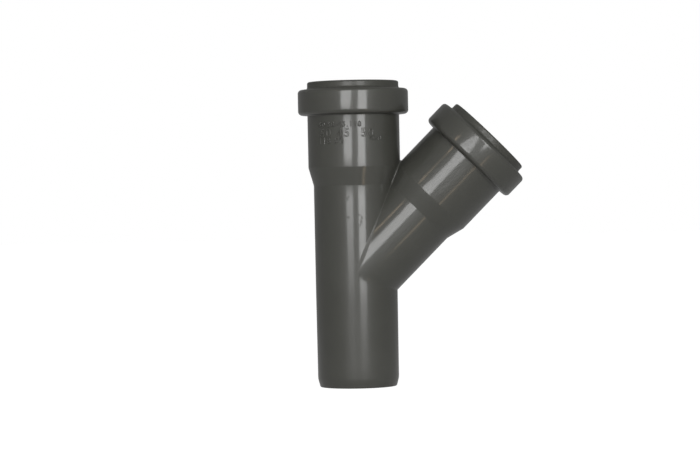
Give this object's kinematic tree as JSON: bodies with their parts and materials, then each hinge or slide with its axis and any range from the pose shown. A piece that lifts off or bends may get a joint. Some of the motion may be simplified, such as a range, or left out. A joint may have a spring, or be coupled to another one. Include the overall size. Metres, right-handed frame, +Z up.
{
  "type": "lateral wye pipe fitting",
  "caption": "Dark grey moulded plastic wye for waste pipe: a straight run with a plain spigot below and a ring-seal socket above, and a 45 degree branch that ends in the same socket.",
  "frame": {"origin": "the middle of the spigot's end face, on which the fitting stands", "axes": "+Z runs up the run's axis to the main socket's mouth, and the branch leans towards +X in the XZ plane"},
  "size_m": [0.1375, 0.068, 0.188],
  "materials": {
    "grey_plastic": "satin",
    "black_rubber": "matte"
  },
  "bodies": {
    "root": {"wye_body": "grey_plastic", "main_socket_seal": "black_rubber", "branch_socket_seal": "black_rubber"}
  },
  "joints": []
}
